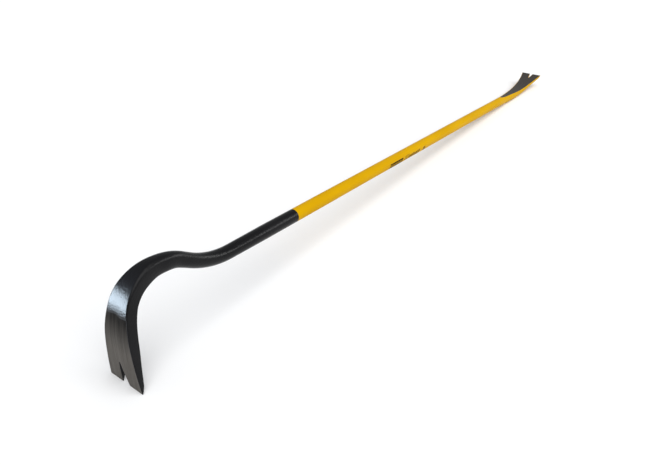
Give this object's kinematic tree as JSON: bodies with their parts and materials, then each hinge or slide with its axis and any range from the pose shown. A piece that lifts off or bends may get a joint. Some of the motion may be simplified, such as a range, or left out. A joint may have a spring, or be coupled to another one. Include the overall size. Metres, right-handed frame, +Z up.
{
  "type": "gooseneck wrecking bar",
  "caption": "Long steel demolition bar with a slotted gooseneck claw at one end and a slotted flared chisel at the other, painted black and yellow.",
  "frame": {"origin": "centre of the bar's bounding box, on the floor it stands on with its claw points and its heel", "axes": "+X along the bar towards the chisel, the claw at -X; +Z up; the claw's flat runs across Y"},
  "size_m": [1.5034, 0.0628, 0.1535],
  "materials": {
    "bare_steel": "ground, dull",
    "black_paint": "semi-gloss",
    "yellow_paint": "semi-gloss",
    "black_ink": "satin"
  },
  "bodies": {
    "root": {"forged_bar": "bare_steel", "black_coat": "black_paint", "yellow_coat": "yellow_paint", "shaft_print": "black_ink"}
  },
  "joints": []
}
